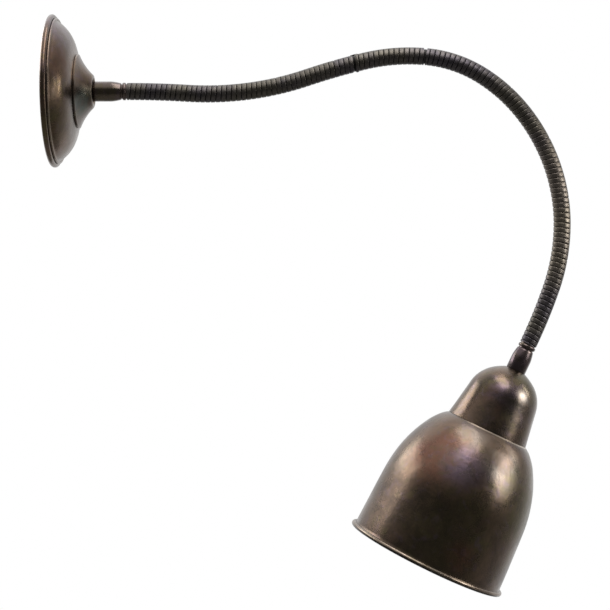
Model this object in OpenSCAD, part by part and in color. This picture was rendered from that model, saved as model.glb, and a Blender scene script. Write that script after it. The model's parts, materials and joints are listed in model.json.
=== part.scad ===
// Gooseneck wall sconce: a spun wall rose, a flexible metal arm and a bell shade.
// Millimetres. Origin at the centre of the rose on the wall, +X away from the wall, +Z up.

/* [Rose] */
// Outer diameter of the rose, over its rim bead
rose_d = 120; // [112:1:132]
// Height of its crown above the wall
rose_h = 22; // [21:0.1:25]
// Sheet thickness of the rose
rose_wall = 1; // [0.8:0.1:1.3]
// Radius of its flat crown
rose_crown_r = 80; // [72:1:90]
// Slope at which the crown turns into the side
rose_crown_slope = 17; // [15:0.5:19]
// Radius of its rounded side
rose_side_r = 31; // [28:0.5:33]
// Slope of the side where it meets the rim
rose_side_slope = 53; // [49:0.5:56]
// Radius of the bead rolled round the rim
rim_bead_r = 2.3; // [2:0.1:2.6]
// Radius of the fine bead above the rim
fine_bead_r = 1.1; // [0.9:0.1:1.3]
// Distance of the fine bead up the side from the rim bead
fine_bead_up = 2.6; // [2.2:0.1:4]

/* [Boss] */
// Diameter of the foot of the boss
boss_d = 58; // [54:1:64]
// Height of the upright edge of the foot
boss_edge = 1.2; // [0.8:0.1:2.2]
// Radius of the hollow flare
boss_flare_r = 48; // [45:0.5:50]
// Slope of the flare at the foot
boss_foot_slope = 23; // [21:0.5:26]
// Slope of the flare at the nose
boss_nose_slope = 46; // [44:0.5:48]
// Radius of the rounded lip of the nose
boss_lip_r = 2; // [1.6:0.1:2.3]
// Depth of the well in the nose that takes the ferrule
boss_well = 2.9; // [2.2:0.1:3.6]
// Wall thickness of the flare
boss_wall = 1.6; // [1.2:0.1:2.2]

/* [Ferrules] */
// Outer diameter of both ferrules
ferrule_d = 15.8; // [15:0.1:17]
// Length of the wall ferrule in front of the boss
ferrule_len = 26.4; // [24:0.2:30]
// Length of the head ferrule above the cap
head_ferrule_len = 23; // [21:0.2:28]
// Length of the taper towards the arm
ferrule_taper = 8; // [6:0.5:9]
// Diameter at the thin end of the taper
ferrule_tip_d = 13.2; // [12.8:0.1:14]
// Diameter of the ring at the thin end
ferrule_ring_d = 14; // [13.6:0.1:15]
// Width of that ring
ferrule_ring_w = 4.6; // [3.5:0.1:5.5]
// Bevel on its edges
ferrule_edge = 0.4; // [0.2:0.05:0.5]

/* [Threaded tubes] */
// Outside diameter of the hollow threaded tubes
tube_d = 10; // [9.6:0.1:10.4]
// Bore of the hollow threaded tubes
tube_bore_d = 7.4; // [6.8:0.1:8]
// Length of a threaded tube inside its ferrule
tube_grip = 9; // [7:0.5:11]
// Width across the flats of the locknuts
nut_flats = 14; // [13:0.5:16]
// Thickness of the locknuts
nut_t = 3; // [2:0.5:3.5]
// Length of the wall tube behind its locknut
tube_back = 1; // [0:0.5:2]

/* [Arm] */
// Bend of each link of the arm from the wall to the head, upwards positive
link_turn = [-3.5, 10.9, 11.2, -5.3, -18, -27.4, -21.1, -18.9, -19.6, -17.5, -6.4];
// Wound turns in one link
link_coils = 12; // [10:1:14]
// Distance from one turn to the next
coil_pitch = 3.98; // [3.8:0.01:4.3]
// Outer diameter of the arm over its turns
arm_d = 13.5; // [12.9:0.1:14.2]
// Depth of the groove between two turns
groove_depth = 0.6; // [0.4:0.05:0.7]
// Bore of the arm
arm_bore_d = 6.2; // [5.8:0.1:6.6]
// Diameter of the ball at the end of a link
ball_d = 8.8; // [8.4:0.1:9]
// Length of the ball past its centre
ball_nose = 2.6; // [2.2:0.1:2.8]
// Gap between the ends of two links
link_gap = 2.8; // [2.6:0.1:3.2]
// Length of the thin end of the arm that sits in a ferrule
arm_spigot = 6; // [4:0.5:8]

/* [Cable] */
// Diameter of the cable in the arm
cable_d = 5; // [4.4:0.1:5.2]
// Diameter of one of its leads
lead_d = 1.8; // [1.4:0.1:2]
// Gap in the cable where a link turns
cable_gap = 1.8; // [1.6:0.1:2.4]
// Distance of the cable's end inside the lampholder's neck
cable_tail = 2; // [1:0.5:4]
// Scale of the bends of the leads
lead_pull = 5; // [4:0.5:6]

/* [Wall bracket] */
// Overall length of the bracket
bracket_len = 100; // [96:1:104]
// Width of the bracket
bracket_w = 20; // [18:1:24]
// Thickness of the bracket
bracket_t = 1.6; // [1.2:0.1:2]
// Length of its raised middle
bridge_len = 44; // [42:1:48]
// Height of the raised middle above the wall
bridge_h = 11; // [10:0.5:12.5]
// Length over which the strap rises to its middle
bridge_rise = 8; // [6:0.5:9]
// Distance between the two wall screw slots
screw_pitch = 80; // [76:1:84]
// Width of a wall screw slot
slot_w = 4.5; // [4:0.1:5.5]
// Overall length of a wall screw slot
slot_len = 10; // [8:0.5:12]
// Diameter of the earth screw
earth_d = 4; // [3.5:0.5:5]
// Distance of the earth screw from the middle of the bracket
earth_z = 15; // [14:0.5:17]
// Length of the earth screw behind the bracket
earth_end = 2.5; // [1:0.5:4]
// Thickness of the earth tag
tag_t = 0.8; // [0.6:0.1:1]
// Length of the tail of the earth tag
tag_tail_len = 6.5; // [5:0.5:8]
// Width of the tail of the earth tag
tag_tail_w = 2.4; // [2:0.2:3]
// Width of the screwdriver slots
driver_w = 0.7; // [0.5:0.1:0.9]
// Depth of the screwdriver slots
driver_depth = 0.9; // [0.6:0.1:1.2]

/* [Terminal block] */
// Distance between two poles of the terminal block
pole_pitch = 9; // [8:0.5:10]
// Width of the terminal block along its wires
block_w = 15; // [13:0.5:17]
// Height of the terminal block
block_h = 10; // [9:0.5:11]
// Height of its foot above the wall
block_x = 2.5; // [2:0.1:3]
// Diameter of a terminal screw
terminal_screw_d = 3; // [2.4:0.1:3.2]
// Outer diameter of the brass barrel of a pole
barrel_d = 4.8; // [4.4:0.1:5.4]
// Wall thickness of the barrel
barrel_wall = 0.9; // [0.7:0.1:1.1]
// Distance of the barrel's end inside the block
barrel_inset = 1; // [0.5:0.5:2]
// Height of a screw tower on the block
tower_h = 2; // [1:0.5:3]
// Wall thickness of a screw tower
tower_wall = 1.4; // [1:0.1:1.6]
// Diameter of the fixing holes between the poles
block_hole_d = 2.6; // [2:0.1:3]

/* [Cap] */
// Diameter of the flat top under the ferrule
cap_flat_d = 17.2; // [16.8:0.1:18]
// Radius of the crown beside the flat
cap_crown_r = 45.8; // [42:0.2:50]
// Radius of the shoulder
cap_shoulder_r = 27.9; // [27.3:0.1:28.8]
// Sheet thickness of the cap
cap_wall = 1; // [0.8:0.1:1.2]
// Slope at which the crown starts beside the flat
cap_flat_slope = 22.9; // [21:0.1:24]
// Slope at which the crown turns into the shoulder
cap_crown_slope = 34.7; // [33:0.1:36]
// Slope of the skirt
cap_skirt_slope = 80.7; // [79.5:0.1:81.5]

/* [Shade] */
// Outer diameter of the shade over its rim bead
shade_d = 130; // [129:0.5:136]
// Depth of the shade's seat below the top of the cap
shade_seat = 48.4; // [48:0.1:49.6]
// Depth of the shade from its seat to the middle of its rim bead
shade_depth = 115.1; // [104:0.1:130]
// Radius of its crown under the cap
shade_crown_r = 24.3; // [23:0.1:25.4]
// Radius of its shoulder
shade_shoulder_r = 44.5; // [42:0.5:47]
// Width of the flat round the shade's hole
shade_flat = 0.9; // [0.5:0.1:2]
// Slope at which the crown turns into the shoulder
shade_crown_slope = 45; // [43:0.5:47]
// Slope at which the shoulder turns into the side
shade_shoulder_slope = 59; // [57.5:0.5:60]
// Slope of the side at the rim
shade_side_slope = 87.4; // [86.8:0.1:88]
// Sheet thickness of the shade
shade_wall = 1; // [0.8:0.1:1.2]
// Radius of the bead rolled round the rim
shade_bead_r = 1.9; // [1.6:0.1:2.2]

/* [Lampholder] */
// Diameter of the threaded skirt that carries the shade
skirt_d = 39.6; // [39:0.1:40]
// Length of the skirt below the shade's seat
skirt_len = 22; // [20:0.5:26]
// Diameter of the lampholder above the shade
holder_d = 35; // [34.6:0.2:37]
// Diameter of the flange that the shade hangs from
flange_d = 44; // [42.5:0.5:46]
// Thickness of that flange
flange_t = 2.2; // [1.6:0.2:3]
// Depth of the lampholder's top below the top of the cap
holder_z = 7; // [6:0.5:8]
// Length of the threaded neck in the lampholder's top
holder_neck = 7; // [6:0.5:8]
// Height of the lampholder's own cap
holder_cap_h = 18; // [17:0.5:20]
// Wall thickness of the lampholder
holder_wall = 2.2; // [1.8:0.1:2.4]
// Height of the collar round its neck
collar_h = 2; // [1.5:0.1:2.5]
// Bevel on its moulded edges
mould_edge = 1; // [0.6:0.1:1.1]
// Gap between the holder's cap and the ceramic inside
ceramic_gap = 3; // [2.5:0.1:4]
// Thickness of the wall of the holder's threaded neck
neck_wall = 3.4; // [2.6:0.2:4]
// Bore of the lamp's screw shell
shell_bore_d = 26.5; // [26.3:0.1:26.7]
// Sheet thickness of the screw shell
shell_wall = 0.5; // [0.4:0.1:0.7]
// Length of the screw shell
shell_len = 24; // [22:0.5:26]
// Height of the narrow neck under the screw shell
shell_neck_h = 4; // [3.6:0.1:5]
// Inner diameter of that neck
shell_neck_d = 19; // [17:0.5:21]
// Diameter of the hole in its floor
shell_hole_d = 12; // [10:0.5:14]
// Height of the centre contact
contact_h = 3.2; // [2.6:0.1:3.5]
// Diameter of the foot of the centre contact
contact_foot_d = 8.4; // [7:0.2:9]
// Diameter of a contact screw
contact_screw_d = 3; // [2.6:0.1:3.4]
// Diameter of the head of a contact screw
contact_head_d = 5.4; // [4.8:0.1:6]
// Height of the head of a contact screw
contact_head_h = 2; // [1.6:0.1:2.4]
// Length of a contact screw in the ceramic
contact_screw_len = 5; // [4:0.5:6]
// Distance of the contact screws from the axis
contact_screw_r = 9.2; // [8:0.2:10]
// Height of the ceramic inside
ceramic_h = 10; // [9:0.5:12]
// Width of the shade ring across its section
ring_w = 3.2; // [2.6:0.1:4]
// Height of the shade ring
ring_h = 6; // [5:0.5:8]
// Diameter of the finger notches round the shade ring
notch_d = 2.6; // [2:0.1:3.2]

/* [Clearances] */
// Clearance on the radius of a tube, screw or insert in its hole
fit = 0.1; // [0.05:0.05:0.15]
// Gap between two pieces that lie beside each other
apart = 0.3; // [0.2:0.05:0.4]
// Clearance on the radius of a ball in its socket
ball_play = 0.7; // [0.6:0.05:0.8]
// Clearance on the radius of the holder's skirt in the shade
shade_play = 0.5; // [0.3:0.1:0.8]

/* [Hidden] */
$fn = 96;
// Sides of the faceted arm and cable, and of a lead
sides = 8;
lead_sides = 6;
// Points along one arc of a profile
arc_points = 10;
// Fraction of the flare that is hollow inside
boss_hollow = 0.7;
// The sheet of the rose ends inside and above the middle of its rim bead, in shares of the bead's radius
rim_tuck = [0.17, 0.35];
// How far the fine bead stands out of the side, as a share of its radius
fine_bead_out = 0.36;
// How far the sheet of the shade ends inside the middle of its rim bead, as a share of the bead's radius
shade_tuck = 0.42;
// What a cut reaches past the piece that it cuts
past = 1;
// How far the curves of the leads run straight at their ends, in shares of lead_pull
block_pull = [[2, 0, 0], [0.6, 1.4, 0]];
earth_pull = [[0, 1.6, 1], [0, 2.4, 1.4]];
holder_pull = [1, 1.2];

// Profiles of revolved pieces. A point is [radius, depth below the top]. A slope of 0 runs
// outwards and 90 straight down; a positive radius bulges out and a negative one is hollow.
function last(v) = v[len(v) - 1];
function backwards(v) = [for (i = [len(v) - 1:-1:0]) v[i]];
function arc(p, from, to, r) =
    [for (i = [1:arc_points])
        let (b = from + (to - from) * i / arc_points)
        p + r * [sin(b) - sin(from), cos(from) - cos(b)]];
// Arcs one after another, each [radius, end slope], moved inwards by t
function arcs(p, from, steps, t = 0, i = 0) =
    i == len(steps) ? [] :
    let (a = arc(p, from, steps[i][1], steps[i][0] - t))
    concat(a, arcs(last(a), steps[i][1], steps, t, i + 1));
// One side of a sheet: its start moved inwards by t, its arcs, and a straight run down to an end depth
function sheet_line(p, from, steps, end, t = 0) =
    let (start = p + t * [-sin(from), cos(from)],
         a = concat([start], arcs(start, from, steps, t)),
         b = last(steps)[1])
    concat(a, [last(a) + (end - last(a)[1]) * [cos(b) / sin(b), 1]]);
function sheet(p, from, steps, end, t) =
    concat(sheet_line(p, from, steps, end), backwards(sheet_line(p, from, steps, end, t)));

// Turns a piece drawn with its depth along +Z so that it hangs from the wall side or the head
module on_wall(x) { translate([x, 0, 0]) rotate([0, 90, 0]) children(); }
module on_head() { translate([seat_x, 0, seat_z]) rotate([0, 90 - head_slope, 0]) children(); }
// A ring of revolution between two radii and two depths
module tube(r_out, r_in, z0, z1) {
    difference() {
        translate([0, 0, z0]) cylinder(r = r_out, h = z1 - z0);
        translate([0, 0, z0 - past]) cylinder(r = r_in, h = z1 - z0 + 2 * past);
    }
}
module hex_nut(z) {
    difference() {
        translate([0, 0, z]) cylinder(r = nut_flats / 2 / cos(30), h = nut_t, $fn = 6);
        translate([0, 0, z - past]) cylinder(r = hole_r, h = nut_t + 2 * past);
    }
}
// A slotted screw along +Z, with its head above 0
module screw(shaft_r, shaft_len, head_r, head_h) {
    difference() {
        union() {
            translate([0, 0, -shaft_len]) cylinder(r = shaft_r, h = shaft_len);
            cylinder(r = head_r, h = head_h);
        }
        translate([-head_r - past, -driver_w / 2, head_h - driver_depth])
            cube([2 * (head_r + past), driver_w, driver_depth + past]);
    }
}

// Wall side
tube_r = tube_d / 2;
hole_r = tube_r + fit;
rose_r = rose_d / 2;
// The sheet ends inside the rim bead
rose_steps = [[rose_crown_r, rose_crown_slope], [rose_side_r, rose_side_slope]];
rose_reach = rose_crown_r * sin(rose_crown_slope)
    + rose_side_r * (sin(rose_side_slope) - sin(rose_crown_slope));
rose_drop = rose_crown_r * (1 - cos(rose_crown_slope))
    + rose_side_r * (cos(rose_crown_slope) - cos(rose_side_slope));
rim_in = rose_r - rim_bead_r * (1 + rim_tuck[0]);
rim_down = rose_h - rim_bead_r * (1 + rim_tuck[1]);
crown_flat_r = rim_in - rose_reach - (rim_down - rose_drop) / tan(rose_side_slope);
// Height of the crown's outer face at radius r
function rose_x(r) =
    r <= crown_flat_r ? rose_h :
    rose_h - rose_crown_r + sqrt(pow(rose_crown_r, 2) - pow(r - crown_flat_r, 2));

module rose() {
    // The fine bead stands on the side, above the rim bead
    bead_at = [rim_in, rim_down] - fine_bead_up * [cos(rose_side_slope), sin(rose_side_slope)]
        + fine_bead_out * fine_bead_r * [sin(rose_side_slope), -cos(rose_side_slope)];
    color("#5d4a3a") on_wall(rose_h) mirror([0, 0, 1]) union() {
        rotate_extrude() polygon(concat([[hole_r, 0]],
            sheet([crown_flat_r, 0], 0, rose_steps, rim_down, rose_wall), [[hole_r, rose_wall]]));
        rotate_extrude() translate([rose_r - rim_bead_r, rose_h - rim_bead_r]) circle(rim_bead_r);
        rotate_extrude() translate(bead_at) circle(fine_bead_r);
    }
}

boss_r = boss_d / 2;
boss_x = rose_x(boss_r - boss_wall);
flare_reach = boss_flare_r * (sin(boss_nose_slope) - sin(boss_foot_slope));
flare_rise = boss_flare_r * (cos(boss_foot_slope) - cos(boss_nose_slope));
nose_r = boss_r - flare_reach;
well_r = nose_r - boss_lip_r * (1 + sin(boss_nose_slope));
nose_x = boss_x + boss_edge + flare_rise + boss_lip_r * (1 - cos(boss_nose_slope));
well_x = nose_x - boss_well;
boss_h = nose_x - boss_x;

module rose_boss() {
    hollow_slope = boss_foot_slope + boss_hollow * (boss_nose_slope - boss_foot_slope);
    lip = arc([well_r, boss_lip_r], -90, boss_nose_slope, boss_lip_r);
    flare = arc(last(lip), boss_nose_slope, boss_foot_slope, -boss_flare_r);
    foot = [boss_r, boss_h - boss_edge];
    under = arc(foot + boss_wall * [-sin(boss_foot_slope), cos(boss_foot_slope)],
        boss_foot_slope, hollow_slope, -boss_flare_r - boss_wall);
    inside = boss_r - boss_wall;
    color("#5f4d3c") on_wall(nose_x) mirror([0, 0, 1]) rotate_extrude()
        polygon(concat([[hole_r, boss_well], [well_r, boss_well], [well_r, boss_lip_r]], lip, flare,
            [[boss_r, boss_h], [inside, boss_h]], [for (q = under) if (q[0] < inside) q],
            [[hole_r, last(under)[1]]]));
}

module ferrule(len) {
    r = ferrule_d / 2;
    edge = ferrule_edge;
    tip_r = ferrule_tip_d / 2;
    ring_r = ferrule_ring_d / 2;
    ring_z = len - ferrule_ring_w;
    color("#4a3a30") rotate_extrude() polygon([[hole_r, 0], [r - edge, 0], [r, edge],
        [r, ring_z - ferrule_taper], [tip_r, ring_z - edge], [tip_r - edge, ring_z],
        [ring_r - edge, ring_z], [ring_r, ring_z + 2 * edge], [ring_r, len - 2 * edge],
        [ring_r - edge, len], [hole_r, len]]);
}
module wall_ferrule() { on_wall(well_x) ferrule(boss_well + ferrule_len); }

module wall_tube() {
    color("#b9964f") on_wall(0)
        tube(tube_r, tube_bore_d / 2, bridge_h - nut_t - tube_back, well_x + tube_grip);
}
module bracket_nut() { color("#c0a060") on_wall(0) hex_nut(bridge_h - nut_t); }

module wall_bracket() {
    half = bracket_len / 2;
    foot = bridge_len / 2 + bridge_rise;
    mid = bridge_len / 2;
    top = bridge_h + bracket_t;
    side = [[0, half], [bracket_t, half], [bracket_t, foot], [top, mid]];
    under = [[0, foot - bracket_t], [bridge_h, mid - bracket_t]];
    cut = bracket_t + 2 * past;
    color("#a8abad") difference() {
        rotate([90, 0, 0]) linear_extrude(height = bracket_w, center = true)
            polygon(concat(side, [for (p = backwards(side)) [p[0], -p[1]]],
                [for (p = under) [p[0], -p[1]]], backwards(under)));
        on_wall(bridge_h - past) cylinder(r = hole_r, h = cut);
        translate([bridge_h - past, 0, earth_z]) rotate([0, 90, 0])
            cylinder(r = earth_d / 2 + fit, h = cut);
        for (s = [-1, 1]) translate([-past, 0, s * screw_pitch / 2]) {
            for (e = [-1, 1]) translate([0, 0, e * (slot_len - slot_w) / 2])
                rotate([0, 90, 0]) cylinder(r = slot_w / 2, h = cut);
            translate([0, -slot_w / 2, -(slot_len - slot_w) / 2])
                cube([cut, slot_w, slot_len - slot_w]);
        }
    }
}

bridge_top = bridge_h + bracket_t;
tag_r = earth_d;
// Places a piece on the bracket at the earth screw, with +Z away from the wall
module at_earth() { translate([bridge_top, 0, earth_z]) rotate([0, 90, 0]) children(); }
module earth_tag() {
    color("#c9ccd0") at_earth() difference() {
        union() {
            cylinder(r = tag_r, h = tag_t);
            translate([-tag_tail_w / 2, 0, 0]) cube([tag_tail_w, tag_r + tag_tail_len, tag_t]);
        }
        translate([0, 0, -past]) cylinder(r = earth_d / 2 + fit, h = tag_t + 2 * past);
    }
}
module earth_screw() {
    color("#b98f45") at_earth() translate([0, 0, tag_t])
        screw(earth_d / 2, tag_t + bracket_t + earth_end, earth_d * 0.9, earth_d * 0.55);
}

// The terminal block lies beside the bridge with its wires along Y
block_y = bracket_w / 2 + apart;
barrel_r = barrel_d / 2;
screw_r = terminal_screw_d / 2;
pole_x = block_x + (block_h - tower_h) / 2;
block_top = block_x + block_h;
poles = [-1, 0, 1];
// Places of the two screws of a pole, as shares of the width
screw_places = [0.25, 0.75];
// Places a piece at every terminal screw, with +Z away from the wall from the middle of the poles
module at_screws() {
    for (p = poles) for (s = screw_places)
        translate([pole_x, block_y + s * block_w, p * pole_pitch]) rotate([0, 90, 0]) children();
}
// Places a piece at every pole, along its wire
module at_poles(y) {
    for (p = poles) translate([pole_x, y, p * pole_pitch]) rotate([-90, 0, 0]) children();
}
module terminal_block() {
    color("#e9e6dc") difference() {
        union() {
            translate([block_x, block_y, -1.5 * pole_pitch])
                cube([block_h - tower_h, block_w, 3 * pole_pitch]);
            at_screws() cylinder(r = screw_r + tower_wall, h = block_top - pole_x);
        }
        at_poles(block_y - past) cylinder(r = barrel_r + fit, h = block_w + 2 * past);
        at_screws() cylinder(r = screw_r + fit, h = block_h);
        for (p = [-0.5, 0.5]) translate([0, block_y + block_w / 2, p * pole_pitch])
            rotate([0, 90, 0]) cylinder(r = block_hole_d / 2, h = block_top);
    }
}
module terminal_barrels() {
    color("#c8a250") difference() {
        at_poles(block_y + barrel_inset) cylinder(r = barrel_r, h = block_w - 2 * barrel_inset);
        at_poles(block_y) cylinder(r = barrel_r - barrel_wall, h = block_w);
        at_screws() cylinder(r = screw_r + fit, h = barrel_d);
    }
}
module terminal_screws() {
    color("#bfc2c4") at_screws() translate([0, 0, block_top - pole_x - driver_depth])
        screw(screw_r, block_top - pole_x - driver_depth - apart, screw_r, apart);
}

// The leads run along cubic curves, drawn as tubes of a few sides
function curve(c, n = 10) = [for (i = [0:n]) let (t = i / n, u = 1 - t)
    c[0] * u * u * u + 3 * c[1] * u * u * t + 3 * c[2] * u * t * t + c[3] * t * t * t];
function unit(v) = v / norm(v);
// Side is a direction that the curve never runs along
function lead_rings(p, r, side) = [for (i = [0:len(p) - 1])
    let (t = unit(p[min(i + 1, len(p) - 1)] - p[max(i - 1, 0)]),
         n = unit(cross(t, side)), b = cross(t, n))
    [for (k = [0:lead_sides - 1]) let (a = 360 * k / lead_sides) p[i] + r * (cos(a) * n + sin(a) * b)]];
// Two triangles between each point of ring i, the next point of it, and ring j
function band(i, j, n) = [for (k = [0:n - 1]) for (h = [0, 1])
    let (a = i * n, b = j * n, m = (k + 1) % n)
    h == 0 ? [a + k, a + m, b + k] : [a + m, b + m, b + k]];
// A closed tube through rings of n points each
module ring_tube(rings, n) {
    final = len(rings) - 1;
    bands = [for (i = [0:final - 1]) for (f = band(i, i + 1, n)) f];
    polyhedron([for (r = rings) for (q = r) q],
        concat(bands, [[for (k = [n - 1:-1:0]) k]], [[for (k = [0:n - 1]) final * n + k]]));
}
module lead(c, side) { ring_tube(lead_rings(curve(c), lead_d / 2, side), lead_sides); }
// Brown, blue and green
lead_colors = ["#6b4a34", "#3f6fa8", "#7c9c3a"];
// The three leads leave the cable side by side
lead_from = bridge_h - nut_t + apart;
lead_core_r = lead_d * 0.65;
module block_leads() {
    for (p = poles) {
        start = [lead_from, lead_core_r * cos(120 * p), lead_core_r * sin(120 * p)];
        end = [pole_x, block_y - apart, p * pole_pitch];
        color(lead_colors[p + 1])
            lead([start, start - lead_pull * block_pull[0], end - lead_pull * block_pull[1], end],
                [0, 0, 1]);
    }
}
module earth_lead() {
    start = [pole_x, block_y + block_w + apart, pole_pitch];
    end = [bridge_top + tag_t / 2, tag_r + tag_tail_len + apart, earth_z];
    color(lead_colors[2])
        lead([start, start + lead_pull * earth_pull[0], end + lead_pull * earth_pull[1], end], [1, 0, 0]);
}

// Arm: equal links of constant bend, one after another from the wall ferrule
link_count = len(link_turn);
link_len = link_coils * coil_pitch;
arm_x = nose_x + ferrule_len;
arm_r = arm_d / 2;
groove_r = arm_r - groove_depth;
bore_r = arm_bore_d / 2;
ball_r = ball_d / 2;
gap = link_gap / 2;
socket_r = ball_r + ball_play;
socket_depth = ball_r + ball_play;
bore_steps = 6;
// Place and slope at u along an arc of one link, straight on past both of its ends
function step(from, turn, u) =
    let (v = max(0, min(link_len, u)), bow = turn * v / link_len, half = bow / 2,
         chord = abs(half) < 0.001 ? v : v * sin(half) / (half * PI / 180),
         slope = from[2] + bow, over = u - v)
    [from[0] + chord * cos(from[2] + half) + over * cos(slope),
     from[1] + chord * sin(from[2] + half) + over * sin(slope), slope];
function link_start(i) =
    i == 1 ? [arm_x, 0, 0] : step(link_start(i - 1), link_turn[i - 2], link_len);
arm_end = link_start(link_count + 1);
head_slope = arm_end[2];
seat_x = arm_end[0] + head_ferrule_len * cos(head_slope);
seat_z = arm_end[1] + head_ferrule_len * sin(head_slope);

function arm_ring(at, r) = [for (k = [0:sides - 1]) let (a = 360 * k / sides)
    [at[0] - r * cos(a) * sin(at[2]), r * sin(a), at[1] + r * cos(a) * cos(at[2])]];
// The section of a link as [place along it, radius]: one outer end, the turns, the other end, the bore
function turns() = [for (k = [0:link_coils - 1]) for (h = k == 0 ? [0.5] : [0, 0.5])
    [(k + h) * coil_pitch, h == 0 ? groove_r : arm_r]];
function ball_at(u) = [link_len + u, sqrt(pow(ball_r, 2) - pow(u, 2))];
function spigot(at, out) = [[at, groove_r], [at, tube_r], [at + out, tube_r], [at + out, bore_r]];
function ball() = concat([[link_len - gap, groove_r]],
    [for (u = [-gap, 0, ball_nose / 2, ball_nose]) ball_at(u)], [[link_len + ball_nose, bore_r]]);
function socket() = [[socket_depth, bore_r], [socket_depth, socket_r], [gap, socket_r], [gap, groove_r]];
// The bore follows the bend of the link in short steps
function bore(steps) = [for (k = steps) [k * link_len / bore_steps, bore_r]];
function link_section(i) = concat(turns(),
    i == link_count ? spigot(link_len, arm_spigot) : ball(),
    i == 1 ? concat(bore([bore_steps:-1:0]), backwards(spigot(0, -arm_spigot)))
           : concat(bore([bore_steps:-1:1]), socket()));
module hose(i) {
    section = link_section(i);
    n = len(section);
    rings = [for (s = section) arm_ring(step(link_start(i), link_turn[i - 1], s[0]), s[1])];
    color("#3f3a33") polyhedron([for (r = rings) for (q = r) q],
        [for (j = [0:n - 1]) for (f = band(j, (j + 1) % n, sides)) f]);
}

// Cable: it runs from the bracket to the lampholder and is cut at the end of each ball
cable_end = holder_z + holder_neck - cable_tail;
module cable(i) {
    start = i == 1 ? lead_from + apart - arm_x : ball_nose + cable_gap;
    end = i == link_count ? link_len + head_ferrule_len + cable_end : link_len + ball_nose;
    stops = concat([start], i == 1 ? [0] : [],
        [for (k = [1:bore_steps - 1]) k * link_len / bore_steps],
        i == link_count ? [link_len] : [], [end]);
    color("#4b4b4b") ring_tube(
        [for (u = stops) arm_ring(step(link_start(i), link_turn[i - 1], u), cable_d / 2)], sides);
}

// Head
module head_ferrule() { on_head() mirror([0, 0, 1]) ferrule(head_ferrule_len); }
module head_tube() {
    color("#b9964f") on_head() tube(tube_r, tube_bore_d / 2, -tube_grip, holder_z + holder_neck);
}
module cap_nut() { color("#c0a060") on_head() hex_nut(cap_wall + fit); }

// The shade: its hole, crown, shoulder, side and skirt
skirt_r = skirt_d / 2;
shade_hole_r = skirt_r + shade_play;
shade_flat_r = shade_hole_r + shade_flat;
shade_rim_z = shade_seat + shade_depth;
shade_rim_r = shade_d / 2 - shade_bead_r;
shade_end_r = shade_rim_r - shade_tuck * shade_bead_r;
// The radius of the long side is what brings the crown and shoulder out to the rim
shoulder_reach = shade_crown_r * sin(shade_crown_slope)
    + shade_shoulder_r * (sin(shade_shoulder_slope) - sin(shade_crown_slope));
shoulder_drop = shade_crown_r * (1 - cos(shade_crown_slope))
    + shade_shoulder_r * (cos(shade_crown_slope) - cos(shade_shoulder_slope));
side_reach = shade_end_r - shade_flat_r - shoulder_reach
    - (shade_depth - shoulder_drop) / tan(shade_side_slope);
shade_side_r = side_reach / (sin(shade_side_slope) - sin(shade_shoulder_slope)
    - (cos(shade_shoulder_slope) - cos(shade_side_slope)) / tan(shade_side_slope));
shade_steps = [[shade_crown_r, shade_crown_slope], [shade_shoulder_r, shade_shoulder_slope],
    [shade_side_r, shade_side_slope]];
module shade() {
    color("#4f4038") on_head() union() {
        rotate_extrude() polygon(concat([[shade_hole_r, shade_seat]],
            sheet([shade_flat_r, shade_seat], 0, shade_steps, shade_rim_z, shade_wall),
            [[shade_hole_r, shade_seat + shade_wall]]));
        rotate_extrude() translate([shade_rim_r, shade_rim_z]) circle(shade_bead_r);
    }
}
// Depth of the shade's outer face at radius r, on its crown or its shoulder
function shade_z(r) =
    let (split = shade_flat_r + shade_crown_r * sin(shade_crown_slope),
         crown = r < split,
         more = crown ? 0 : shade_shoulder_r - shade_crown_r,
         from = r - shade_flat_r + more * sin(shade_crown_slope))
    shade_seat + shade_crown_r + more * cos(shade_crown_slope)
        - sqrt(pow(shade_crown_r + more, 2) - pow(from, 2));

// The cap: flat top, crown, shoulder and skirt, down to the shoulder of the shade
cap_flat_r = cap_flat_d / 2;
cap_steps = [[cap_crown_r, cap_crown_slope], [cap_shoulder_r, cap_skirt_slope]];
function cap_skirt_r(z) = last(sheet_line([cap_flat_r, 0], cap_flat_slope, cap_steps, z))[0];
// The inner corner of the edge rests on the shade, found by closing in on it
function cap_edge(z, tries) =
    tries == 0 ? z : cap_edge(shade_z(cap_skirt_r(z) - cap_wall) - fit, tries - 1);
cap_depth = cap_edge(shade_seat, 5);
module cap() {
    color("#4c3a31") on_head() rotate_extrude() polygon(concat([[hole_r, 0]],
        sheet([cap_flat_r, 0], cap_flat_slope, cap_steps, cap_depth, cap_wall), [[hole_r, cap_wall]]));
}

// The lampholder hangs on the threaded tube and carries the shade on its skirt
holder_r = holder_d / 2;
holder_in = holder_r - holder_wall;
holder_split = holder_z + holder_cap_h;
// Slope at which its top leaves the neck
brow_slope = 15;
module holder_cap() {
    neck_r = hole_r + neck_wall;
    neck_end = holder_z + holder_neck;
    dome = arc([neck_r, holder_z + collar_h], brow_slope, 90,
        (holder_r - neck_r) / (1 - sin(brow_slope)));
    color("#2b2522") on_head() rotate_extrude() polygon(concat(
        [[hole_r, holder_z], [neck_r, holder_z], [neck_r, holder_z + collar_h]], dome,
        [[holder_r, holder_split], [holder_in, holder_split], [holder_in, neck_end + neck_wall],
         [hole_r + holder_wall, neck_end], [hole_r, neck_end]]));
}
module holder_body() {
    flange_r = flange_d / 2;
    end = shade_seat + skirt_len;
    color("#2b2522") on_head() rotate_extrude() polygon([
        [holder_in, holder_split], [holder_r, holder_split], [holder_r, shade_seat - flange_t],
        [flange_r, shade_seat - flange_t], [flange_r, shade_seat], [skirt_r, shade_seat],
        [skirt_r, end - mould_edge], [skirt_r - mould_edge, end], [holder_in + mould_edge, end],
        [holder_in, end - mould_edge]]);
}
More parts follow.
